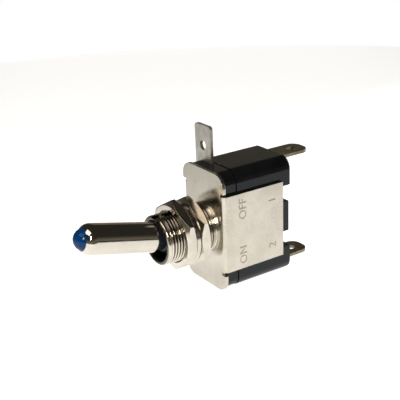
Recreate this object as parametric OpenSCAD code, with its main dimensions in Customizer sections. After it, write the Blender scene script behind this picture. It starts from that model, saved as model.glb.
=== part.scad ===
// Panel toggle switch with an illuminated lever, a 12 mm threaded bush and 6.3 mm blade terminals.
// Frame: +Z is up the long side of the body, -Y points out of the panel along the bush.
// The origin is on the bush axis, at the front face of the steel frame.

/* [Frame] */
// Width of the folded steel frame over its two cheeks
frame_w = 16.6; // [15.6:0.1:18]
// Height of the front plate
plate_h = 29.2; // [28:0.1:34]
// Radius of the front plate's corners
plate_r = 3.1; // [2.5:0.1:4]
// Height of the cheeks
cheek_h = 19; // [18:0.1:20]
// Depth of the cheeks, from the front face of the plate
cheek_d = 17.4; // [17:0.1:22]
// Thickness of the frame's sheet steel
sheet = 0.8; // [0.6:0.05:0.9]
// Outer radius of the folds
fold_r = 1.3; // [1.1:0.1:1.6]
// Height of the relief notch at the end of each fold
notch_h = 0.8; // [0.6:0.1:1.2]
// Width of the four crimp tabs
tab_w = 3.9; // [3:0.1:4]
// Length of the crimp tabs across the back of the housing
tab_l = 3.6; // [2.5:0.1:5]
// Height of the middle of each crimp tab above or below the axis
tab_z = 5.9; // [5.6:0.1:6.2]
// How far the crimp tabs stand behind the cheeks
tab_out = 0.5; // [0.3:0.1:0.9]

/* [Housing] */
// Thickness of the moulded walls
wall = 1.1; // [1:0.1:1.4]
// Radius of the housing's long edges
body_r = 2.9; // [2.5:0.1:3.4]
// How far the mouldings stand above the plate's top and bottom edges
body_over = 0.15; // [0:0.05:0.3]
// Depth of the front moulding
cover_d = 3.75; // [3.4:0.05:4]
// Height of the middle block on the back of the housing
block_h = 7.6; // [7:0.1:7.8]
// Height of the middle block's back above the cheeks' edge
block_out = 2.4; // [1.8:0.1:3]
// How far the end blocks stand behind the middle block
end_out = 0.4; // [0:0.1:0.8]
// Clear gap between mouldings, and between them and the metal
fit = 0.05; // [0.03:0.01:0.08]
// Width of the joint line between the two mouldings
seam = 0.2; // [0.1:0.05:0.25]
// How far the front moulding stands in from the rear one
cover_in = 0.15; // [0:0.05:0.25]

/* [Bush] */
// Outside diameter of the thread
thread_d = 12; // [11.5:0.1:13]
// Length of the bush in front of the plate
bush_l = 13.5; // [13:0.1:16]
// Diameter of the smooth collar against the plate
collar_d = 12.4; // [12.4:0.1:14]
// Length of the smooth collar
collar_l = 1.2; // [0.8:0.1:1.6]
// Bore at the mouth and behind the seat
bore_d = 9.8; // [9.6:0.1:10]
// Bore of the seat around the lever's ball
seat_d = 8.7; // [8.5:0.1:8.8]
// Length of the seat
seat_l = 3; // [2.6:0.1:3.2]
// Width of the keyway along the thread
key_w = 2.2; // [1.6:0.1:2.6]
// Depth of the keyway
key_depth = 0.7; // [0.4:0.1:0.8]

/* [Nuts and washer] */
// Width of the nuts across their flats
nut_af = 15.4; // [14:0.1:17]
// Thickness of each nut
nut_t = 2.5; // [2:0.1:2.6]
// Distance of the rear nut's back face from the plate
rear_nut_y = 3.15; // [2.5:0.05:3.2]
// Distance of the front nut's back face from the plate
front_nut_y = 6.95; // [6.9:0.05:7.5]
// Outside diameter of the lock washer
washer_d = 15.2; // [14:0.1:16]
// Thickness of the lock washer
washer_t = 1; // [0.6:0.1:1.1]

/* [Lever] */
// Tilt of the lever either side of the bush axis
lever_tilt = 14; // [12:0.5:14]
// Distance of the lever's pivot from the plate
pivot_y = 9.5; // [9.4:0.1:9.6]
// Outside diameter of the bright sleeve
sleeve_d = 7.2; // [7:0.1:7.4]
// Distance of the sleeve's back end from the pivot
sleeve_back = 5.3; // [5.2:0.1:6]
// Distance of the sleeve's front end from the pivot
sleeve_front = 23; // [20:0.1:30]
// Radius of the sleeve's front shoulder
shoulder_r = 2.6; // [1.6:0.1:3]
// Wall of the sleeve
sleeve_wall = 0.5; // [0.4:0.05:0.5]
// Diameter of the ball on the lever's core
ball_d = 8.1; // [7.8:0.1:8.1]
// Diameter of the two trunnions on the ball
trunnion_d = 2; // [1.6:0.1:2.2]
// Diameter of the core's tail
tail_d = 3.8; // [3.6:0.1:3.9]
// Length of the core's tail behind the pivot
tail_l = 15.5; // [14:0.1:16.5]
// Running clearance on the radius of every part that slides or turns
run = 0.06; // [0.03:0.01:0.08]

/* [Lamp] */
// Diameter of the light-emitting diode
led_d = 5; // [4.8:0.1:5]
// How far the dome of the diode stands out of the sleeve
led_out = 1.8; // [1.2:0.1:2]
// Length of the diode from the back of its flange to its tip
led_l = 8.6; // [8:0.1:9]
// Diameter of the diode's flange
led_flange_d = 5.7; // [5.5:0.1:5.8]
// Distance between the diode's two leads
lead_pitch = 2.54; // [2.4:0.02:2.6]
// Thickness of the diode's leads
lead_d = 0.5; // [0.4:0.05:0.55]
// Diameter of the insulated wires to the diode
wire_d = 0.9; // [0.7:0.05:0.95]
// Diameter of the resistor's body
resistor_d = 1.8; // [1.5:0.1:2]
// Length of the resistor's body
resistor_l = 3.4; // [3:0.1:4]

/* [Contacts] */
// Width of the blade terminals
blade_w = 6.3; // [4.8:0.1:6.3]
// Thickness of the blade terminals
blade_t = 0.8; // [0.5:0.1:0.8]
// Length of the rear blades behind the housing
blade_l = 10; // [8:0.1:12]
// Distance of each blade's hole from its tip
blade_hole = 3.7; // [3.2:0.1:4.5]
// Radius of the corners at the tip of each rear blade
blade_tip = 2.4; // [0.8:0.1:2.6]
// Diameter of the hole in each blade
blade_hole_d = 2.4; // [1.6:0.1:2.6]
// Height of the middle of each rear blade above or below the axis
blade_z = 13.5; // [13.3:0.1:13.6]
// Length of the earth blade above the housing
earth_l = 8.9; // [8:0.1:12]
// Distance of the earth blade's middle to the left of the axis
earth_x = 4.28; // [3.8:0.02:4.3]
// Turn of the earth blade about its own length
earth_turn = 0.5; // [0:0.5:4]
// Distance of the earth blade's hole from its tip
earth_hole = 5; // [3.2:0.1:5.4]
// Distance of the rocker's front face from the plate, level with the axis
rocker_y = 12.3; // [12.3:0.1:12.6]
// Thickness of the rocker
rocker_t = 0.8; // [0.7:0.1:1]
// Width of the rocker
rocker_w = 5; // [4:0.1:5.5]
// Length of each arm of the rocker
rocker_arm = 8; // [7.8:0.1:8.4]
// Bend of each arm of the rocker towards the lever
rocker_bend = 10; // [9:0.5:11]
// Tilt of the rocker either side of level
rocker_tilt = 7; // [6:0.5:7]
// Diameter of the rocker's round fulcrum bar
bar_d = 1.6; // [1.4:0.1:1.7]
// Distance of the contacts from the fulcrum, along the rocker's arm
contact_z = 6.4; // [6:0.1:6.6]
// Diameter of the silver contacts
contact_d = 2.8; // [2:0.1:3]
// Height of each silver contact above its carrier
contact_h = 0.6; // [0.5:0.05:0.65]
// Diameter of the plunger
plunger_d = 2; // [1.8:0.1:2]
// Length of the plunger
plunger_l = 9.6; // [8:0.1:11]
// Gap between the plunger's tip and the rocker at the middle of its travel
plunger_gap = 0.3; // [0.25:0.05:0.6]
// Wire diameter of the plunger's spring
spring_wire = 0.26; // [0.2:0.02:0.3]
// Number of turns of the plunger's spring
spring_turns = 9; // [6:1:12]

/* [Hidden] */
$fn = 96;
small_fn = 48;                                  // facets of the small round parts
eps = 0.01;
bend_r = fold_r - sheet;                        // inner radius of the folds
body_w = frame_w - 2 * sheet - 2 * fit;         // both mouldings, between the cheeks
body_h = plate_h + 2 * body_over;
cavity_w = body_w - 2 * wall;
cavity_h = body_h - 2 * wall - 0.4;
cover_y = sheet;                                // front of the front moulding
seam_y = sheet + cover_d;                       // joint line between the mouldings
lip_d = 0.8;                                    // depth of the spigot that registers them
tab_y = cheek_d + tab_out;                      // outer face of the crimp tabs
channel_y = tab_y - sheet - fit;                // floor of the channels that take the tabs
channel_h = tab_w + 2 * 0.1;
block_y = cheek_d + block_out;
end_y = block_y + end_out;
rear_wall_y = channel_y - 1.15;                 // inner face of the housing's back wall
thread_r = thread_d / 2;
flange_d = collar_d + 0.2;                      // swaged rim behind the plate
flange_t = 0.9;
spigot_d = thread_d - 0.5;
bore_r = bore_d / 2;
nut_bore = thread_r + run;
seat_front = pivot_y + seat_l / 2;              // seat reaches both sides of the pivot
seat_back = pivot_y - seat_l / 2;
ball_r = ball_d / 2;
trunnion_reach = bore_r - 0.15;
core_r = sleeve_d / 2 - sleeve_wall - fit;      // core inside the sleeve
led_r = led_d / 2;
dome_r = (pow(led_out, 2) + pow(led_r, 2)) / (2 * led_out);    // the dome fills the sleeve's mouth
led_tip = sleeve_front + led_out;
led_base = led_tip - led_l;                     // back of the diode's flange
lead_side = 2.5;                                // leads run beside the tail's bore
lead_jog = 3.2;                                 // where the leads move apart
lead_end = -(ball_r + 1);
tail_r = tail_d / 2;
plunger_r = plunger_d / 2;
tail_bore = plunger_r + run;
bar_y = rocker_y + rocker_t + 0.2;              // axis of the rocker
plunger_tip = pivot_y + rocker_y - plunger_gap; // reach of the plunger's tip from the pivot
spring_back = -3.6;                             // bottom of the plunger's bore
carrier_y = rear_wall_y - blade_t;              // front face of the terminals inside the housing
earth_y = seam_y - 0.75;
earth_foot = 7;                                 // height of the earth strip's lower end
wire_x = tail_r + 0.7;                          // the wires pass beside the moving tail
wire_start = -pivot_y - lead_end + 0.45;
resistor_at = [cavity_w / 2 - resistor_d / 2 - 0.2, 10, -6];    // beside the rocker

// Turns a shape drawn along +Z so that it runs forward, out of the panel.
module forward() rotate([90, 0, 0]) children();

// Places a shape drawn along +Z, with the pivot at its origin, in the lever's rest position.
module on_lever() translate([0, -pivot_y, 0]) rotate([90 - lever_tilt, 0, 0]) children();

// Places a shape on the rocker, whose axis is its origin, in the rocker's rest position.
module on_rocker() translate([0, bar_y, 0]) rotate([rocker_tilt, 0, 0]) children();

// Rectangle with round corners.
module round_rect(w, h, r) {
    square([w - 2 * r, h], center = true);
    square([w, h - 2 * r], center = true);
    for (x = [-1, 1], y = [-1, 1])
        translate([x * (w / 2 - r), y * (h / 2 - r)]) circle(r);
}

// Upright prism of round_rect between two distances behind the plate.
module body_prism(w, h, r, from, to)
    translate([0, to, 0]) forward() linear_extrude(to - from) round_rect(w, h, r);

// Direction of the tube at point i: halfway between the stretches that meet there.
function unit(v) = v / norm(v);
function heading(points, i) =
    i == 0 ? unit(points[1] - points[0]) :
    i == len(points) - 1 ? unit(points[i] - points[i - 1]) :
    unit(unit(points[i] - points[i - 1]) + unit(points[i + 1] - points[i]));

// Closed round tube through a list of points. No stretch may run along the X axis.
module tube(points, r, sides = 8) {
    last = len(points) - 1;
    rings = [for (i = [0 : last])
        let (t = heading(points, i), u = unit(cross(t, [1, 0, 0])), v = cross(t, u))
        for (j = [0 : sides - 1]) points[i] + r * (cos(360 * j / sides) * u + sin(360 * j / sides) * v)];
    walls = [for (i = [0 : last - 1], j = [0 : sides - 1])
        let (k = (j + 1) % sides)
        [i * sides + j, (i + 1) * sides + j, (i + 1) * sides + k, i * sides + k]];
    caps = [[for (j = [0 : sides - 1]) j], [for (j = [sides - 1 : -1 : 0]) last * sides + j]];
    polyhedron(rings, concat(walls, caps));
}

// Plan of the folded frame: a U of even thickness with round folds.
module frame_plan() {
    difference() {
        fold_shape(frame_w, fold_r, 0);
        fold_shape(frame_w - 2 * sheet, bend_r, sheet);
    }
}

// Half of a round rectangle, open at the back, that starts at a distance behind the plate.
module fold_shape(w, r, start) {
    translate([-w / 2 + r, start]) square([w - 2 * r, cheek_d]);
    translate([-w / 2, start + r]) square([w, cheek_d - r - start + (start > 0 ? 1 : 0)]);
    for (x = [-1, 1]) translate([x * (w / 2 - r), start + r]) circle(r);
}

// Plan of one crimp tab, folded in over the back of the housing.
module tab_plan() {
    cx = frame_w / 2 - fold_r;
    cy = tab_y - fold_r;
    intersection() {
        translate([cx, cy]) difference() {
            circle(fold_r);
            circle(bend_r);
        }
        translate([cx, cy]) square(fold_r + 1);
    }
    translate([frame_w / 2 - tab_l, tab_y - sheet]) square([tab_l - fold_r + eps, sheet]);
}

module frame() {
    color([0.80, 0.78, 0.74]) difference() {
        union() {
            translate([0, 0, -cheek_h / 2]) linear_extrude(cheek_h) frame_plan();
            difference() {
                translate([0, sheet, 0]) forward() linear_extrude(sheet) round_rect(frame_w, plate_h, plate_r);
                for (x = [-1, 1]) translate([x * frame_w / 2, sheet / 2, 0])
                    cube([2 * fold_r, 2 * sheet, cheek_h + 2 * notch_h], center = true);
            }
            for (z = [-1, 1], x = [0, 1]) mirror([x, 0, 0]) translate([0, 0, z * tab_z - tab_w / 2])
                linear_extrude(tab_w) tab_plan();
        }
        forward() translate([0, 0, -sheet - 1]) cylinder(h = sheet + 2, r = spigot_d / 2 + fit);
    }
}

module bush() {
    profile = [
        [bore_r, -sheet - flange_t], [flange_d / 2, -sheet - flange_t], [flange_d / 2, -sheet],
        [spigot_d / 2, -sheet], [spigot_d / 2, 0], [collar_d / 2, 0], [collar_d / 2, collar_l],
        [thread_r, collar_l], [thread_r, bush_l - 0.3], [thread_r - 0.3, bush_l],
        [bore_r + 0.25, bush_l], [bore_r, bush_l - 0.25], [bore_r, seat_front + 0.2],
        [seat_d / 2, seat_front], [seat_d / 2, seat_back], [bore_r, seat_back - 0.6]];
    color([0.82, 0.80, 0.76]) difference() {
        forward() rotate_extrude() polygon(profile);
        translate([-key_w / 2, -bush_l - 1, thread_r - key_depth]) cube([key_w, bush_l + 1 - collar_l - 0.8, 2]);
        // Two slots, open towards the back, take the lever's trunnions.
        for (x = [-1, 1]) {
            translate([x * (trunnion_reach + 0.1) / 2, -pivot_y, 0]) rotate([0, 90, 0])
                cylinder(h = trunnion_reach + 0.1, r = trunnion_d / 2 + run, center = true, $fn = small_fn);
            translate([x * (trunnion_reach + 0.1) / 2, -pivot_y + seat_l / 2, 0])
                cube([trunnion_reach + 0.1, seat_l, trunnion_d + 2 * run], center = true);
        }
    }
}

// Chamfered hexagon nut, corners up and down, bored to run on the thread.
module hex_nut() {
    corner_r = nut_af / 2 / cos(30);
    face_r = nut_af / 2 - 0.25;
    rise = (corner_r - face_r) * tan(30);
    forward() difference() {
        intersection() {
            rotate([0, 0, 30]) cylinder(h = nut_t, r = corner_r, $fn = 6);
            rotate_extrude() polygon([[0, 0], [face_r, 0], [corner_r, rise], [corner_r, nut_t - rise],
                [face_r, nut_t], [0, nut_t]]);
        }
        translate([0, 0, -1]) cylinder(h = nut_t + 2, r = nut_bore);
        for (z = [0, 1]) translate([0, 0, z * nut_t]) mirror([0, 0, z]) translate([0, 0, -eps])
            cylinder(h = 0.35, r1 = nut_bore + 0.35, r2 = nut_bore);
    }
}

module rear_nut() color([0.82, 0.80, 0.76]) translate([0, -rear_nut_y, 0]) hex_nut();

module front_nut() color([0.82, 0.80, 0.76]) translate([0, -front_nut_y, 0]) hex_nut();

module lock_washer() {
    color([0.78, 0.76, 0.72]) translate([0, -front_nut_y + washer_t + fit, 0]) forward() difference() {
        cylinder(h = washer_t, r = washer_d / 2);
        translate([0, 0, -1]) cylinder(h = washer_t + 2, r = nut_bore);
    }
}

// Space for the earth strip, cut in the front moulding.
module earth_slot() {
    translate([-earth_x, earth_y, 0]) rotate([0, 0, earth_turn])
        translate([-blade_w / 2 - fit, -blade_t / 2 - fit, earth_foot - 1])
            cube([blade_w + 2 * fit, blade_t + 2 * fit, plate_h]);
}

module cover() {
    lip_w = body_w - wall;
    lip_h = body_h - wall;
    color([0.09, 0.09, 0.10]) difference() {
        union() {
            body_prism(body_w - 2 * cover_in, body_h - 2 * cover_in, body_r - cover_in, cover_y, seam_y - seam);
            body_prism(lip_w, lip_h, body_r - wall / 2, cover_y + 1, seam_y + lip_d);
        }
        body_prism(cavity_w, cavity_h, body_r - wall, cover_y + 1.4, seam_y + lip_d + 1);
        forward() translate([0, 0, -cover_y - 3]) cylinder(h = 4, r = flange_d / 2 + fit);
        earth_slot();
        // Relief beside the inner radius of the frame's folds.
        for (x = [-1, 1]) translate([x * body_w / 2, cover_y, 0])
            cube([2 * bend_r, 2 * bend_r, cheek_h + 2 * notch_h], center = true);
    }
}

module housing() {
    color([0.09, 0.09, 0.10]) difference() {
        body_prism(body_w, body_h, body_r, seam_y, end_y);
        body_prism(cavity_w, cavity_h, body_r - wall, seam_y - 1, rear_wall_y);
        body_prism(body_w - wall + 2 * fit, body_h - wall + 2 * fit, body_r - wall / 2, seam_y - 1,
            seam_y + lip_d + fit);
        for (z = [-1, 1]) {
            translate([0, channel_y + 5, z * tab_z]) cube([body_w + 2, 10, channel_h], center = true);
            for (x = [-1, 1]) translate([x * body_w / 2, channel_y, z * tab_z])
                cube([2 * bend_r, 2 * bend_r, channel_h], center = true);
            translate([0, carrier_y + 10, z * blade_z])
                cube([blade_w + 2 * fit, 20, blade_t + 2 * fit], center = true);
        }
        translate([0, block_y + 5, 0]) cube([body_w + 2, 10, 2 * tab_z], center = true);
    }
}

module lever_sleeve() {
    r = sleeve_d / 2;
    inner = r - sleeve_wall;
    mouth = led_r + 0.1;
    turned_in = sqrt(pow(shoulder_r, 2) - pow(mouth - r + shoulder_r, 2));
    color([0.86, 0.84, 0.80]) on_lever() rotate_extrude() difference() {
        union() {
            translate([0, sleeve_back]) square([r, sleeve_front - turned_in - sleeve_back]);
            translate([r - shoulder_r, sleeve_front - turned_in]) intersection() {
                circle(shoulder_r);
                square(shoulder_r);
            }
        }
        square([inner, sleeve_front - turned_in]);
        square([mouth, sleeve_front + 1]);
    }
}

module lever_core() {
    channel_r = lead_d / 2 + 0.15;
    color([0.08, 0.08, 0.09]) on_lever() difference() {
        union() {
            sphere(ball_r);
            cylinder(h = led_base - fit, r = core_r);
            rotate([0, 90, 0]) cylinder(h = 2 * trunnion_reach, r = trunnion_d / 2, center = true, $fn = small_fn);
            mirror([0, 0, 1]) cylinder(h = tail_l, r = tail_r, $fn = small_fn);
        }
        // Bore for the diode's leads, then two channels beside the tail's bore.
        translate([0, 0, lead_jog - 0.6]) cylinder(h = 20, r = 1.7, $fn = small_fn);
        translate([0, 0, lead_jog + 0.3])
            cube([2 * lead_side + 2 * channel_r, 2 * channel_r, 2], center = true);
        for (x = [-1, 1]) translate([x * lead_side, 0, lead_end - 2])
            cylinder(h = lead_jog - lead_end + 2, r = channel_r, $fn = 24);
        translate([0, 0, -tail_l - 1]) cylinder(h = tail_l + 1 + spring_back, r = tail_bore, $fn = small_fn);
    }
}

module led_lens() {
    color([0.05, 0.25, 0.60]) on_lever() rotate_extrude($fn = 64) {
        translate([0, led_base]) square([led_flange_d / 2, 1]);
        translate([0, led_base]) square([led_r, led_l - led_out]);
        intersection() {
            translate([0, led_tip - dome_r]) circle(dome_r);
            translate([0, led_tip - led_out - eps]) square([led_r, led_out + 1]);
        }
    }
}

module led_leads() {
    color([0.75, 0.75, 0.76]) on_lever() for (x = [-1, 1])
        tube([[x * lead_pitch / 2, 0, led_base], [x * lead_pitch / 2, 0, lead_jog + 1],
            [x * lead_side, 0, lead_jog], [x * lead_side, 0, lead_end]], lead_d / 2);
}

module plunger() {
    color([0.90, 0.90, 0.86]) on_lever() mirror([0, 0, 1]) rotate_extrude($fn = small_fn) {
        translate([0, plunger_tip - plunger_l]) square([plunger_r, plunger_l - plunger_r]);
        translate([0, plunger_tip - plunger_r]) intersection() {
            circle(plunger_r);
            square(plunger_r + 1);
        }
    }
}

// Closed tube swept along a helix: rings of points, two end caps and a wall between the rings.
module helix(r, wire, length, turns, steps = 14, sides = 6) {
    rings = turns * steps;
    points = [for (i = [0 : rings], j = [0 : sides - 1])
        let (a = 360 * i / steps, b = 360 * j / sides, q = r + wire / 2 * cos(b))
        [q * cos(a), q * sin(a), wire / 2 + (length - wire) * i / rings + wire / 2 * sin(b)]];
    walls = [for (i = [0 : rings - 1], j = [0 : sides - 1])
        let (k = (j + 1) % sides)
        [i * sides + j, i * sides + k, (i + 1) * sides + k, (i + 1) * sides + j]];
    caps = [[for (j = [sides - 1 : -1 : 0]) j], [for (j = [0 : sides - 1]) rings * sides + j]];
    polyhedron(points, concat(walls, caps));
}

module plunger_spring() {
    length = plunger_tip - plunger_l + spring_back - 2 * fit;
    color([0.7, 0.7, 0.72]) on_lever() translate([0, 0, spring_back - fit - length])
        helix(plunger_r - spring_wire / 2 - fit, spring_wire, length, spring_turns);
}

module rocker() {
    color([0.80, 0.62, 0.32]) on_rocker() {
        rotate([0, 90, 0]) cylinder(h = rocker_w, r = bar_d / 2, center = true, $fn = small_fn);
        translate([0, rocker_y - bar_y, 0]) for (z = [0, 1]) mirror([0, 0, z]) rotate([rocker_bend, 0, 0])
            translate([-rocker_w / 2, 0, -0.15]) cube([rocker_w, rocker_t, rocker_arm + 0.15]);
    }
}

module moving_contact() {
    color([0.85, 0.85, 0.86]) on_rocker() translate([0, rocker_y - bar_y, 0]) rotate([-rocker_bend, 0, 0])
        translate([0, rocker_t + contact_h, -contact_z]) forward()
            cylinder(h = contact_h, r = contact_d / 2, $fn = small_fn);
}

module fulcrum() {
    foot = 2.4;
    top = 1.5;
    front = bar_y + 0.05;
    color([0.80, 0.62, 0.32]) difference() {
        translate([-rocker_w / 2, 0, 0]) rotate([90, 0, 90]) linear_extrude(rocker_w)
            polygon([[carrier_y, -foot], [carrier_y, foot], [carrier_y - 0.5, foot], [front, top],
                [front, -top], [carrier_y - 0.5, -foot]]);
        translate([0, bar_y, 0]) rotate([0, 90, 0])
            cylinder(h = rocker_w + 2, r = bar_d / 2 + run, center = true, $fn = small_fn);
    }
}

// Flat blade along +Z with round corners at its tip and a round hole, its middle on the axis.
module blade(length, hole = blade_hole, tip = blade_tip) {
    half = blade_w / 2;
    translate([0, blade_t / 2, 0]) rotate([90, 0, 0]) linear_extrude(blade_t) difference() {
        union() {
            translate([-half, 0]) square([blade_w, length - tip]);
            translate([tip - half, 0]) square([blade_w - 2 * tip, length]);
            for (x = [-1, 1]) translate([x * (half - tip), length - tip]) circle(tip, $fn = small_fn);
        }
        translate([0, length - hole]) circle(blade_hole_d / 2, $fn = small_fn);
    }
}

// Rear terminal: a blade through the back wall, turned down inside to carry a contact.
module rear_terminal(inner_z) {
    bend = blade_t;
    translate([0, carrier_y + bend / 2, blade_z]) rotate([-90, 0, 0])
        blade(end_y + blade_l - carrier_y - bend / 2);
    translate([-blade_w / 2, 0, 0]) rotate([90, 0, 90]) linear_extrude(blade_w) difference() {
        translate([carrier_y, inner_z]) square([blade_t, blade_z + blade_t / 2 - inner_z]);
        translate([carrier_y, blade_z + blade_t / 2]) rotate(-90) difference() {
            square(bend / 2);
            translate([bend / 2, bend / 2]) circle(bend / 2, $fn = small_fn);
        }
    }
}

module supply_terminal() color([0.72, 0.66, 0.52]) rear_terminal(-2.4);

module load_terminal() {
    color([0.72, 0.66, 0.52]) difference() {
        mirror([0, 0, 1]) rear_terminal(4);
        contact_hole();
    }
}

// Middle of the fixed contact: where the moving contact meets it in the rest position.
function contact_place() =
    let (a = rocker_tilt - rocker_bend, b = rocker_y - bar_y,
        c = rocker_t + contact_h,
        y = c * cos(a) + contact_z * sin(a), z = c * sin(a) - contact_z * cos(a))
    [bar_y + b * cos(rocker_tilt) + y, b * sin(rocker_tilt) + z];

module contact_hole() {
    translate([0, carrier_y + 5, contact_place()[1]]) forward() cylinder(h = 10, r = 0.9, $fn = small_fn);
}

module fixed_contact() {
    top = contact_place()[0] + 0.15;
    crown = 0.25;
    color([0.85, 0.85, 0.86]) translate([0, carrier_y, contact_place()[1]]) forward() rotate_extrude($fn = small_fn)
        polygon([[0, -blade_t], [0.9, -blade_t], [0.9, 0], [contact_d / 2, 0],
            [contact_d / 2, carrier_y - top - crown], [contact_d / 2 - 0.5, carrier_y - top],
            [0, carrier_y - top]]);
}

module earth_terminal() {
    color([0.66, 0.65, 0.60]) translate([-earth_x, earth_y, earth_foot]) rotate([0, 0, earth_turn])
        blade(plate_h / 2 + earth_l - earth_foot, earth_hole, 0.8);
}

module earth_wire() {
    foot = [-earth_x, earth_y + blade_t / 2 + wire_d / 2 + 0.1, earth_foot + 1];
    color([0.08, 0.08, 0.08]) tube([[-wire_x, wire_start, 0], [-wire_x, seam_y - 2, 0],
        [-wire_x - 1, seam_y + 1, 2.5], foot + [0, 0.4, -2], foot], wire_d / 2);
}

module feed_wire() {
    color([0.65, 0.10, 0.08]) tube([[wire_x, wire_start, 0], [wire_x, seam_y - 2, 0],
        [resistor_at[0], seam_y + 2, -1.5], resistor_at + [0, 0, resistor_l / 2 + 1.4],
        resistor_at + [0, 0, resistor_l / 2 + fit]], wire_d / 2);
}

module resistor() {
    r = resistor_d / 2;
    end = resistor_at + [0, 0, -resistor_l / 2];
    color([0.75, 0.65, 0.48]) {
        translate(end) cylinder(h = resistor_l, r = r, $fn = small_fn);
        for (z = [0, resistor_l - 0.8]) translate(end + [0, 0, z]) cylinder(h = 0.8, r = r + 0.12, $fn = small_fn);
        tube([end + [0, 0, 0.5], end + [0, 0, -1], [2.6, carrier_y - 0.8, -10.2], [2.4, carrier_y - 0.15, -10.35]],
            0.3);
    }
}

frame();
bush();
rear_nut();
lock_washer();
front_nut();
cover();
housing();
lever_sleeve();
lever_core();
led_lens();
led_leads();
plunger();
plunger_spring();
rocker();
moving_contact();
fulcrum();
supply_terminal();
load_terminal();
fixed_contact();
earth_terminal();
earth_wire();
feed_wire();
resistor();
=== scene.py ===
import math

import bpy
from mathutils import Matrix, Vector


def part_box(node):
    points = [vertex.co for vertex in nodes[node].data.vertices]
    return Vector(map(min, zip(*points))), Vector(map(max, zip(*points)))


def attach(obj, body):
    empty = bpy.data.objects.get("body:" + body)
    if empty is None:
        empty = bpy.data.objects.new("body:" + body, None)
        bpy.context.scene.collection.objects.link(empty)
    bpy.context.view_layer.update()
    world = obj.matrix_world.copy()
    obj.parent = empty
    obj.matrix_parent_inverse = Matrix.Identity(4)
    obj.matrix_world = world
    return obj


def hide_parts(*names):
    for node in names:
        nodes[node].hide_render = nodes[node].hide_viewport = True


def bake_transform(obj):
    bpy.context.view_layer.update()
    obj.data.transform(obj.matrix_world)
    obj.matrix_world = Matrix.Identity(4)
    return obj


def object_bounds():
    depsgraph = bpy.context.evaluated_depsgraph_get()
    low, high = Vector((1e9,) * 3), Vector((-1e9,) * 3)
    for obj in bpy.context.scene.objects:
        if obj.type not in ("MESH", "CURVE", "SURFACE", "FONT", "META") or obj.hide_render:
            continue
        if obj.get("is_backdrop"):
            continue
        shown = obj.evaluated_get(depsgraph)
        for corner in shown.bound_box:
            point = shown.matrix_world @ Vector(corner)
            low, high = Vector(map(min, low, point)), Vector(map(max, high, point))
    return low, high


mm = 0.001
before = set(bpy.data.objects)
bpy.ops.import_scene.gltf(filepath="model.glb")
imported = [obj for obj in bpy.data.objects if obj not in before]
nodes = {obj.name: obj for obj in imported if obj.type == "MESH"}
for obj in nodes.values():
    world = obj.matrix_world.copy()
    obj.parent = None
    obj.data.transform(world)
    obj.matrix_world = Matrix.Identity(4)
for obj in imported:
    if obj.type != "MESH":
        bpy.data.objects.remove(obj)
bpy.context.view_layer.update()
print("frame loaded:", len(nodes), "nodes")


def linear(code):  # sRGB hex to a linear colour
    shares = [int(code[i:i + 2], 16) / 255 for i in (1, 3, 5)]
    return tuple(s / 12.92 if s <= 0.04045 else ((s + 0.055) / 1.055) ** 2.4 for s in shares) + (1.0,)


def put(tree, kind, values=None, links=None, **settings):  # adds a node, sets it and links it
    node = tree.nodes.new(kind)
    for key, value in settings.items():
        setattr(node, key, value)
    for key, value in (values or {}).items():
        node.inputs[key].default_value = value
    for key, socket in (links or {}).items():
        tree.links.new(socket, node.inputs[key])
    return node


def newMaterial(name):
    material = bpy.data.materials.new(name)
    material.use_nodes = True
    material.node_tree.nodes.clear()
    return material, material.node_tree


def grain(tree, size, detail=3.0, stretch=(1, 1, 1), offset=0.0):  # noise with features of about size mm
    place = put(tree, "ShaderNodeTexCoord").outputs["Object"]
    mapped = put(tree, "ShaderNodeMapping", {"Scale": stretch, "Location": (offset, offset, offset)},
                 {"Vector": place}).outputs["Vector"]
    return put(tree, "ShaderNodeTexNoise", {"Scale": 1 / (size * mm), "Detail": detail},
               {"Vector": mapped}).outputs["Fac"]


def spread(tree, socket, low, high, start=0.35, stop=0.65):  # maps a pattern to a range of values
    return put(tree, "ShaderNodeMapRange",
               {"From Min": start, "From Max": stop, "To Min": low, "To Max": high},
               {"Value": socket}).outputs["Result"]


def tint(tree, factor, first, second):  # mixes two colours by a pattern
    values, links = {}, {"Factor": factor}
    for name, colour in (("A", first), ("B", second)):
        (values if isinstance(colour, tuple) else links)[name] = colour
    return put(tree, "ShaderNodeMix", values, links, data_type="RGBA").outputs["Result"]


def combine(tree, operation, *terms):  # one step of arithmetic on numbers and patterns
    values = {i: term for i, term in enumerate(terms) if isinstance(term, (int, float))}
    links = {i: term for i, term in enumerate(terms) if i not in values}
    return put(tree, "ShaderNodeMath", values, links, operation=operation).outputs["Value"]


def surface(tree, values, links):
    shader = put(tree, "ShaderNodeBsdfPrincipled", values, links)
    put(tree, "ShaderNodeOutputMaterial", links={"Surface": shader.outputs["BSDF"]})


def relief(tree, height, strength, depth, edge=0.0):  # bump of depth mm, with softened edges
    links = {"Height": height}
    if edge:
        links["Normal"] = put(tree, "ShaderNodeBevel", {"Radius": edge * mm}, samples=4).outputs["Normal"]
    return put(tree, "ShaderNodeBump", {"Strength": strength, "Distance": depth * mm}, links).outputs["Normal"]


speckCoarser = 2.2  # size of the dark specks against the grain
speckRange = (0.24, 0.30)  # only the lowest parts of the noise become specks


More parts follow.
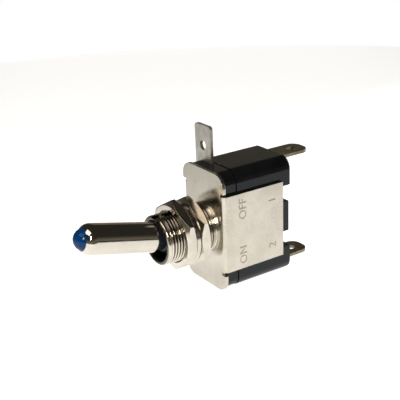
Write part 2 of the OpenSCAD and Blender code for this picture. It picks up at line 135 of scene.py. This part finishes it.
def platedMetal(name, look, root=None):  # electroplated metal: fine grain, slow waves, faint clouding
    material, tree = newMaterial(name)
    cloud = grain(tree, look["cloudSize"], 2.0)
    fine = grain(tree, look["grainSize"], 4.0, look.get("stretch", (1, 1, 1)))
    coarse = grain(tree, look["grainSize"] * speckCoarser, 1.0, offset=3.0)
    specks = spread(tree, coarse, 1.0, 0.0, *speckRange)
    dark = linear(look["speckColour"])
    colour = tint(tree, spread(tree, cloud, 0.0, 1.0), linear(look["colour"]), linear(look["cloudColour"]))
    colour = tint(tree, combine(tree, "MULTIPLY", specks, look["speckAmount"]), colour, dark)
    colour = tint(tree, spread(tree, fine, 0.0, look.get("mottle", 0.05)), colour, dark)
    if root:  # painted shade in the roots of a thread, found by their distance from its axis
        place = put(tree, "ShaderNodeTexCoord").outputs["Object"]
        flat = put(tree, "ShaderNodeVectorMath", {1: (1, 0, 1)}, {0: place},
                   operation="MULTIPLY").outputs["Vector"]
        away = put(tree, "ShaderNodeVectorMath", links={0: flat}, operation="LENGTH").outputs["Value"]
        colour = tint(tree, spread(tree, away, look["paintedRootShade"], 0.0, *root), colour,
                      linear(look["paintedRootShadeColour"]))
    rough = combine(tree, "ADD", spread(tree, cloud, *look["roughness"]), spread(tree, fine, -0.03, 0.03))
    height = combine(tree, "ADD", spread(tree, cloud, 0, 1, 0.2, 0.8),
                     spread(tree, fine, 0, look["grainDepth"], 0.2, 0.8))
    normal = relief(tree, height, 1.0, look["waveDepth"], look.get("edge", 0.0))
    surface(tree, {"Metallic": 1.0}, {"Base Color": colour, "Roughness": rough, "Normal": normal})
    return material


dustRange = (0.70, 0.78)  # only the highest parts of the noise become dust


def mouldedPlastic(name, look):  # injection or compression moulding: low gloss skin with fine orange peel
    material, tree = newMaterial(name)
    peel = grain(tree, look["peelSize"], 3.0)
    haze = grain(tree, look["hazeSize"], 4.0, offset=1.0)
    dust = spread(tree, grain(tree, look["dustSize"], 2.0, offset=5.0), 0.0, 1.0, *dustRange)
    colour = tint(tree, spread(tree, haze, 0.0, 1.0), linear(look["colour"]), linear(look["hazeColour"]))
    colour = tint(tree, combine(tree, "MULTIPLY", dust, look["dustAmount"]), colour, linear(look["dustColour"]))
    rough = spread(tree, haze, *look["roughness"])
    normal = relief(tree, peel, 1.0, look["peelDepth"], look.get("edge", 0.0))
    surface(tree, {"IOR": look["ior"], "Specular IOR Level": look.get("shine", 0.5),
                   "Specular Tint": look.get("cast", (1.0, 1.0, 1.0)) + (1.0,),
                   "Subsurface Weight": look.get("subsurface", 0.0), "Subsurface Scale": 1.0 * mm},
            {"Base Color": colour, "Roughness": rough, "Normal": normal})
    return material


nickelLook = {  # bright nickel on pressed steel: a soft mirror with faint clouds (frame)
    "colour": "#D6D1C6", "cloudColour": "#CEC9BD", "speckColour": "#8D877D", "speckAmount": 0.25,
    "cloudSize": 5.0, "grainSize": 0.22, "roughness": (0.20, 0.27), "grainDepth": 0.6, "waveDepth": 0.006,
    "edge": 0.12, "mottle": 0.16,
}
turnedLook = {  # bright nickel on turned brass: a sharper mirror (bush, nuts and washer)
    "colour": "#DBD6CB", "cloudColour": "#D0CABE", "speckColour": "#6E665C", "speckAmount": 0.2,
    "cloudSize": 2.4, "grainSize": 0.12, "roughness": (0.10, 0.17), "grainDepth": 0.3, "waveDepth": 0.004,
    "edge": 0.10,
}
threadLook = dict(turnedLook, edge=0.0, paintedRootShade=0.9, paintedRootShadeColour="#2A2420")  # painted shade in the roots makes dark lines
sleeveLook = {  # bright chrome on drawn brass tube: clear, hard-edged reflections (lever sleeve)
    "colour": "#D8D4CA", "cloudColour": "#D2CDC3", "speckColour": "#8D857A", "speckAmount": 0.1,
    "cloudSize": 6.0, "grainSize": 0.3, "roughness": (0.07, 0.11), "grainDepth": 0.2, "waveDepth": 0.002,
    "stretch": (1, 0.15, 1),
}
bladeLook = {  # tin on brass, gone dull: olive grey with a blurred sheen (rear blades)
    "colour": "#938E78", "cloudColour": "#7F7963", "speckColour": "#4C4639", "speckAmount": 0.5,
    "cloudSize": 1.8, "grainSize": 0.15, "roughness": (0.26, 0.36), "grainDepth": 0.5, "waveDepth": 0.006,
    "stretch": (1, 0.3, 1), "edge": 0.08,
}
earthLook = {  # dull nickel on steel strip: pale grey, with no clear reflection (earth blade)
    "colour": "#E8E6DD", "cloudColour": "#D5D3C8", "speckColour": "#6A675F", "speckAmount": 0.5,
    "cloudSize": 1.6, "grainSize": 0.15, "roughness": (0.36, 0.48), "grainDepth": 0.5, "waveDepth": 0.006,
    "stretch": (1, 1, 0.3), "edge": 0.08,
}
bronzeLook = {  # phosphor bronze strip: warm, copper-coloured sheen (rocker and fulcrum)
    "colour": "#C9986A", "cloudColour": "#B98557", "speckColour": "#6B452A", "speckAmount": 0.4,
    "cloudSize": 1.5, "grainSize": 0.1, "roughness": (0.22, 0.32), "grainDepth": 0.4, "waveDepth": 0.003,
}
silverLook = {  # silver alloy rivets: near white metal (contacts)
    "colour": "#E4E1DA", "cloudColour": "#CFCAC0", "speckColour": "#4A4744", "speckAmount": 0.4,
    "cloudSize": 0.8, "grainSize": 0.08, "roughness": (0.18, 0.3), "grainDepth": 0.4, "waveDepth": 0.003,
}
wireLook = {  # drawn steel and tinned leads: plain grey metal
    "colour": "#B8B8B6", "cloudColour": "#9C9C9A", "speckColour": "#5A5A58", "speckAmount": 0.3,
    "cloudSize": 0.8, "grainSize": 0.06, "roughness": (0.2, 0.3), "grainDepth": 0.3, "waveDepth": 0.002,
}
phenolicLook = {  # black phenolic compound: deep black with a cool, quiet gloss (cover and housing)
    "colour": "#0A0B0D", "hazeColour": "#101114", "dustColour": "#4A463E", "dustAmount": 0.10,
    "peelSize": 0.35, "hazeSize": 6.0, "dustSize": 0.25, "peelDepth": 0.002, "roughness": (0.16, 0.24),
    "ior": 1.55, "shine": 0.30, "cast": (0.85, 0.95, 1.0), "edge": 0.15,
}
nylonLook = {  # black nylon: softer and a little greyer black (core of the lever)
    "colour": "#16191E", "hazeColour": "#1C2026", "dustColour": "#6A655C", "dustAmount": 0.05,
    "peelSize": 0.5, "hazeSize": 3.0, "dustSize": 0.3, "peelDepth": 0.004, "roughness": (0.28, 0.4),
    "ior": 1.53, "edge": 0.08,
}
acetalLook = {  # natural acetal: milky, light goes in a little (plunger)
    "colour": "#E6E3D8", "hazeColour": "#DCD8CB", "dustColour": "#5A564C", "dustAmount": 0.2,
    "peelSize": 0.3, "hazeSize": 2.0, "dustSize": 0.2, "peelDepth": 0.002, "roughness": (0.3, 0.4),
    "ior": 1.48, "subsurface": 0.2,
}
blackWireLook = {  # black vinyl insulation: matt black
    "colour": "#171717", "hazeColour": "#202020", "dustColour": "#5A564C", "dustAmount": 0.1,
    "peelSize": 0.2, "hazeSize": 1.0, "dustSize": 0.2, "peelDepth": 0.003, "roughness": (0.4, 0.5),
    "ior": 1.53,
}
redWireLook = dict(blackWireLook, colour="#A3231B", hazeColour="#8F1D17")  # red vinyl insulation
lacquerLook = dict(acetalLook, colour="#C9AF83", hazeColour="#BDA274")  # tan lacquer of the resistor


def blueEpoxy(name, look):  # tinted diffusing epoxy of the diode, with a polished skin
    material, tree = newMaterial(name)
    cloud = grain(tree, look["cloudSize"], 2.0)
    colour = tint(tree, spread(tree, cloud, 0.0, 1.0), linear(look["colour"]), linear(look["cloudColour"]))
    skin = relief(tree, grain(tree, look["skinSize"], 1.0, offset=2.0), 0.6, look["skinDepth"])
    surface(tree, {"IOR": 1.54, "Specular IOR Level": look["shine"], "Roughness": look["roughness"],
                   "Subsurface Weight": look["subsurface"], "Subsurface Scale": 1.0 * mm},
            {"Base Color": colour, "Normal": skin})
    return material


lensLook = {  # deep blue that holds its colour at the edge
    "colour": "#023566", "cloudColour": "#022E5B", "cloudSize": 3.0, "skinSize": 0.6, "skinDepth": 0.002,
    "shine": 0.2, "roughness": 0.05, "subsurface": 0.2,
}
# darker colour for the floor of the stamped marks: painted shade in the marks
stampLook = dict(nickelLook, colour="#BBB4A5", cloudColour="#A8A192", roughness=(0.35, 0.45), edge=0.0)

brightNickel = platedMetal("brightNickelPlate", nickelLook)
turnedNickel = platedMetal("turnedNickelPlate", turnedLook)
threadNickel = platedMetal("threadNickelPlate", threadLook, (5.56 * mm, 5.86 * mm))  # painted shade up to this radius
sleeveChrome = platedMetal("sleeveChromePlate", sleeveLook)
dullTin = platedMetal("dullTinPlate", bladeLook)
dullNickel = platedMetal("dullNickelPlate", earthLook)
phosphorBronze = platedMetal("phosphorBronze", bronzeLook)
contactSilver = platedMetal("contactSilver", silverLook)
drawnWire = platedMetal("drawnSteelWire", wireLook)
blackPhenolic = mouldedPlastic("blackPhenolic", phenolicLook)
blackNylon = mouldedPlastic("blackNylon", nylonLook)
whiteAcetal = mouldedPlastic("naturalAcetal", acetalLook)
blackVinyl = mouldedPlastic("blackVinyl", blackWireLook)
redVinyl = mouldedPlastic("redVinyl", redWireLook)
tanLacquer = mouldedPlastic("tanLacquer", lacquerLook)
blueLens = blueEpoxy("blueDiffusedEpoxy", lensLook)
stampedShadow = platedMetal("stampedNickel", stampLook)  # rough floor of the stamped marks, with a darker colour as painted shade, so they read darker

finishes = {
    "frame": brightNickel, "bush": turnedNickel, "rear_nut": turnedNickel, "front_nut": turnedNickel,
    "lock_washer": turnedNickel, "cover": blackPhenolic, "housing": blackPhenolic,
    "lever_sleeve": sleeveChrome, "lever_core": blackNylon, "led_lens": blueLens, "led_leads": drawnWire,
    "plunger": whiteAcetal, "plunger_spring": drawnWire, "rocker": phosphorBronze, "fulcrum": phosphorBronze,
    "moving_contact": contactSilver, "fixed_contact": contactSilver, "supply_terminal": dullTin,
    "load_terminal": dullTin, "earth_terminal": dullNickel, "earth_wire": blackVinyl, "feed_wire": redVinyl,
    "resistor": tanLacquer,
}
for name, material in finishes.items():
    nodes[name].data.materials.clear()
    nodes[name].data.materials.append(material)
print("materials set:", len(finishes))


def meshObject(name, points, faces):
    mesh = bpy.data.meshes.new(name)
    mesh.from_pydata([tuple(p) for p in points], [], faces)
    mesh.validate()
    made = bpy.data.objects.new(name, mesh)
    bpy.context.scene.collection.objects.link(made)
    return made


def cutCopy(name, node, cutter, operation):  # copy of a CAD node after a boolean with the cutter
    made = bpy.data.objects.new(name, nodes[node].data.copy())
    bpy.context.scene.collection.objects.link(made)
    made.matrix_world = nodes[node].matrix_world.copy()
    mod = made.modifiers.new("cut", "BOOLEAN")
    mod.operation = operation
    mod.solver = "EXACT"
    mod.material_mode = "TRANSFER"
    mod.object = cutter
    bpy.context.view_layer.update()
    mesh = bpy.data.meshes.new_from_object(made.evaluated_get(bpy.context.evaluated_depsgraph_get()))
    made.modifiers.clear()
    if "custom_normal" in mesh.attributes:
        mesh.attributes.remove(mesh.attributes["custom_normal"])
    made.data = mesh
    bpy.data.objects.remove(cutter)
    return made


threadValues = {
    "pitch": 0.75 * mm,  # fine thread of such a bush
    "depth": 0.46 * mm,
    "crest": 6.0 * mm,  # radius over the crests
    "lip": 0.75 * mm,  # plain length at the mouth
    "collar": 0.3 * mm,
    "runIn": 0.6 * mm, "runOut": 0.5 * mm,  # lengths over which the thread gets its full depth
    "toolRadius": 9 * mm,  # where nothing is cut away
    "beyond": 1 * mm,  # the tool reaches past the bush at both ends
    "stepIn": 0.02 * mm, "stepOut": 0.01 * mm,  # the tool narrows and widens over these lengths
    "sharpAngle": 50,
    "around": 180,  # points around
    "perPitch": 16,  # points along one pitch
}


def threadForm(turn):  # height of a rolled thread after so many turns, round at crest and root: 0 to 1
    return 0.5 + 0.5 * math.cos(2 * math.pi * turn)


def threadedBush(look):
    low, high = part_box("bush")
    start, stop = low.y + look["lip"], -look["collar"]
    count = int((stop - start) / look["pitch"] * look["perPitch"])
    stations = [(low.y - look["beyond"], False), (start - look["stepIn"], False)]
    stations += [(start + (stop - start) * i / count, True) for i in range(count + 1)]
    stations += [(stop + look["stepOut"], False), (high.y + look["beyond"], False)]
    around = look["around"]
    points, faces = [], []
    for y, cut in stations:
        for j in range(around):
            angle = 2 * math.pi * j / around
            radius = look["toolRadius"]
            if cut:
                fade = min(1.0, (y - start) / look["runIn"], (stop - y) / look["runOut"])
                form = threadForm((y - start) / look["pitch"] + j / around)
                radius = look["crest"] - look["depth"] * (1 - form) * max(0.0, fade)
            points.append((radius * math.sin(angle), y, radius * math.cos(angle)))
    for i in range(len(stations) - 1):
        for j in range(around):
            k = (j + 1) % around
            faces.append((i * around + j, i * around + k, (i + 1) * around + k, (i + 1) * around + j))
    faces.append(tuple(range(around - 1, -1, -1)))
    faces.append(tuple((len(stations) - 1) * around + j for j in range(around)))
    made = cutCopy("threadedBush", "bush", meshObject("threadTool", points, faces), "INTERSECT")
    made.data.materials.clear()
    made.data.materials.append(threadNickel)
    made.data.shade_smooth()
    made.data.set_sharp_from_angle(angle=math.radians(look["sharpAngle"]))
    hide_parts("bush")
    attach(made, "root")
    return made


bush = threadedBush(threadValues)
print("thread cut:", len(bush.data.polygons), "faces")


def coiledSpring():  # copy of the plunger's spring with its placing baked in; the real spring shortens as the plunger is pressed in
    made = bpy.data.objects.new("coiledSpring", nodes["plunger_spring"].data.copy())
    bpy.context.scene.collection.objects.link(made)
    made.matrix_world = nodes["plunger_spring"].matrix_world.copy()
    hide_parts("plunger_spring")
    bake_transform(made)
    return made


spring = coiledSpring()
print("spring wound:", len(spring.data.polygons), "faces")

stampValues = {
    "height": 2.1 * mm,  # of the letters
    "fontScale": 1.4,  # font size for a capital of height 1
    "depth": 0.05 * mm,
    "sharpAngle": 25,
    "side": ((5.5 * mm, 5.7 * mm, "OFF"), (5.5 * mm, -5.9 * mm, "ON")),  # distance behind the plate, height
    "rear": ((14.2 * mm, 5.8 * mm, "1"), (14.2 * mm, -5.8 * mm, "2")),
}


def stampedFrame(look):  # the frame with shallow stamped marks on its right cheek
    low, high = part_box("frame")
    points, faces = [], []
    for y, z, words in look["side"] + look["rear"]:
        curve = bpy.data.curves.new("mark", "FONT")
        curve.body = words
        curve.size = look["height"] * look["fontScale"]
        curve.align_x, curve.align_y = "CENTER", "CENTER"
        curve.extrude = look["depth"]
        mark = bpy.data.objects.new("mark", curve)
        bpy.context.scene.collection.objects.link(mark)
        mark.matrix_world = Matrix.Translation((high.x, y, z)) @ Matrix.Rotation(math.radians(90), 4, "Y") \
            @ Matrix.Rotation(math.radians(180), 4, "Z")
        bpy.context.view_layer.update()
        mesh = bpy.data.meshes.new_from_object(mark.evaluated_get(bpy.context.evaluated_depsgraph_get()))
        mesh.transform(mark.matrix_world)
        bpy.data.objects.remove(mark)
        base = len(points)
        points += [v.co.copy() for v in mesh.vertices]
        faces += [tuple(base + i for i in p.vertices) for p in mesh.polygons]
    tool = meshObject("stampTool", points, faces)
    tool.data.materials.append(stampedShadow)
    made = cutCopy("stampedFrame", "frame", tool, "DIFFERENCE")
    made.data.shade_smooth()
    made.data.set_sharp_from_angle(angle=math.radians(look["sharpAngle"]))
    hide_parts("frame")
    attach(made, "root")
    return made


stamped = stampedFrame(stampValues)
print("frame stamped:", len(stamped.data.polygons), "faces")

studio = {  # lengths in metres
    # the far colour is painted shade on the floor far from the object
    "floorColour": "#E2E3E2", "paintedFarShadeColour": "#26241F",
    "floorRadius": 0.30,
    "rightEdge": (0.070, 0.098),  # the painted pool of light on the table ends here, to the right
    "leftFade": (-0.115, -0.005), "leftShare": 0.25,  # the painted pool dims to this share, to the left
    "sides": (1.18, 0.85), "sideEdge": (-0.01, 0.02),  # glow left and right of the object
    "roomColour": "#FFF0DC",  # dark warm room above, as metal sees it
    "skyGlossy": 0.028, "horizonGlossy": 0.18, "skyHeight": 0.36,
    "skyFill": 0.30,
    "glow": 0.58,  # painted glow of the table: keeps the floor bright close to the object
    "lift": 0.35,  # keeps the floor white for the camera
}
panels = {  # place, size, power, colour and whether metal shows it
    "overhead": ((0.05, -0.05, 0.45), (0.35, 0.35), 0.70, "#FFFDF8", False),
    "key": ((0.33, -0.24, 0.24), (0.035, 0.15), 1.0, "#FFF4E6", True),
    "sheen": ((-0.31, 0.20, 0.15), (0.20, 0.10), 0.010, "#FFF0D8", True),  # shows in the top of the moulding
    "rear": ((-0.32, 0.20, 0.005), (0.25, 0.03), 0.03, "#FFEAD2", True),  # thin warm line on top of round metal
    "front": ((0.04, -0.21, 0.34), (0.28, 0.20), 0.36, "#FFF2E4", True),  # shows in the flanks of the thread
}


def panel(name, spot, size, power, colour, glossy):  # rectangular lamp that faces the object
    light = bpy.data.lights.new(name, "AREA")
    light.shape = "RECTANGLE"
    light.size, light.size_y = size
    light.energy = power
    light.color = linear(colour)[:3]
    lamp = bpy.data.objects.new(name, light)
    bpy.context.scene.collection.objects.link(lamp)
    lamp.location = spot
    lamp.rotation_mode = "QUATERNION"
    lamp.rotation_quaternion = (-Vector(spot)).to_track_quat("-Z", "Y")
    lamp.visible_glossy = glossy
    return lamp


def makeWorld(look):  # white for the camera, a dark warm room for metal, a plain fill for the rest
    world = bpy.data.worlds.new("studio")
    bpy.context.scene.world = world
    world.use_nodes = True
    tree = world.node_tree
    tree.nodes.clear()
    path = put(tree, "ShaderNodeLightPath")
    place = put(tree, "ShaderNodeTexCoord").outputs["Generated"]
    height = put(tree, "ShaderNodeSeparateXYZ", links={"Vector": place}).outputs["Z"]
    dim = spread(tree, height, look["horizonGlossy"], look["skyGlossy"], 0.0, look["skyHeight"])
    room = put(tree, "ShaderNodeMix", {"A": look["skyFill"]}, {"Factor": path.outputs["Is Glossy Ray"], "B": dim},
               data_type="FLOAT").outputs["Result"]
    shown = put(tree, "ShaderNodeMix", {"B": 1.0}, {"Factor": path.outputs["Is Camera Ray"], "A": room},
                data_type="FLOAT").outputs["Result"]
    warm = tint(tree, path.outputs["Is Glossy Ray"], (1, 1, 1, 1), linear(look["roomColour"]))
    back = put(tree, "ShaderNodeBackground", links={"Strength": shown, "Color": warm})
    put(tree, "ShaderNodeOutputWorld", links={"Surface": back.outputs["Background"]})


def paintedPoolTable(name, look):  # matt white table with painted light: a painted pool and glow close to the object, painted dark far from it
    material, tree = newMaterial(name)
    place = put(tree, "ShaderNodeTexCoord").outputs["Object"]
    across = put(tree, "ShaderNodeSeparateXYZ", links={"Vector": place}).outputs["X"]
    # painted pool of light: bright close to the object, dark far from it
    pool = combine(tree, "MULTIPLY", spread(tree, across, 1.0, 0.0, *look["rightEdge"]),
                   spread(tree, across, look["leftShare"], 1.0, *look["leftFade"]))
    seen = put(tree, "ShaderNodeLightPath").outputs["Is Camera Ray"]
    lit = combine(tree, "MAXIMUM", pool, seen)
    shade = tint(tree, lit, linear(look["paintedFarShadeColour"]), linear(look["floorColour"]))
    side = spread(tree, across, *(look["glow"] * share for share in look["sides"]), *look["sideEdge"])
    glow = combine(tree, "MULTIPLY", pool, side)
    lift = combine(tree, "MULTIPLY_ADD", seen, look["lift"], glow)
    surface(tree, {"Roughness": 0.6, "Emission Color": (1, 1, 1, 1)},
            {"Base Color": shade, "Emission Strength": lift})
    return material


def makeStudio(look):
    bpy.context.scene.view_settings.view_transform = "Standard"
    makeWorld(look)
    low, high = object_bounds()
    corners = 96
    turns = [2 * math.pi * i / corners for i in range(corners)]
    points = [(look["floorRadius"] * math.cos(a), look["floorRadius"] * math.sin(a), low.z) for a in turns]
    floor = meshObject("floor", points, [tuple(range(corners))])
    floor.data.materials.append(paintedPoolTable("matteTable", look))
    floor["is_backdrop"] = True
    for name, values in panels.items():
        panel(name, *values)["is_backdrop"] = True


makeStudio(studio)
print("studio ready")

cameraValues = {
    "azimuth": 57.17, "elevation": 21.39, "roll": -2.535,
    "lens": 73.38, "sensor": 36,  # both in mm of the camera
    "distance": 194.233 * mm, "across": -0.98 * mm, "up": 6.25 * mm,
    "clip": (0.01, 5),
}


def makeCamera(look):
    a, e, roll = (math.radians(look[k]) for k in ("azimuth", "elevation", "roll"))
    back = Vector((math.sin(a) * math.cos(e), -math.cos(a) * math.cos(e), math.sin(e)))
    across = Vector((math.cos(a), math.sin(a), 0))
    up = back.cross(across)
    right = across * math.cos(roll) + up * math.sin(roll)
    top = up * math.cos(roll) - across * math.sin(roll)
    camera = bpy.data.objects.new("camera", bpy.data.cameras.new("camera"))
    bpy.context.scene.collection.objects.link(camera)
    camera.data.sensor_width = look["sensor"]
    camera.data.lens = look["lens"]
    camera.data.clip_start, camera.data.clip_end = look["clip"]
    spot = right * look["across"] + top * look["up"] + back * look["distance"]
    camera.matrix_world = Matrix.Translation(spot) @ Matrix((right, top, back)).transposed().to_4x4()
    bpy.context.scene.camera = camera


makeCamera(cameraValues)
print("camera ready")
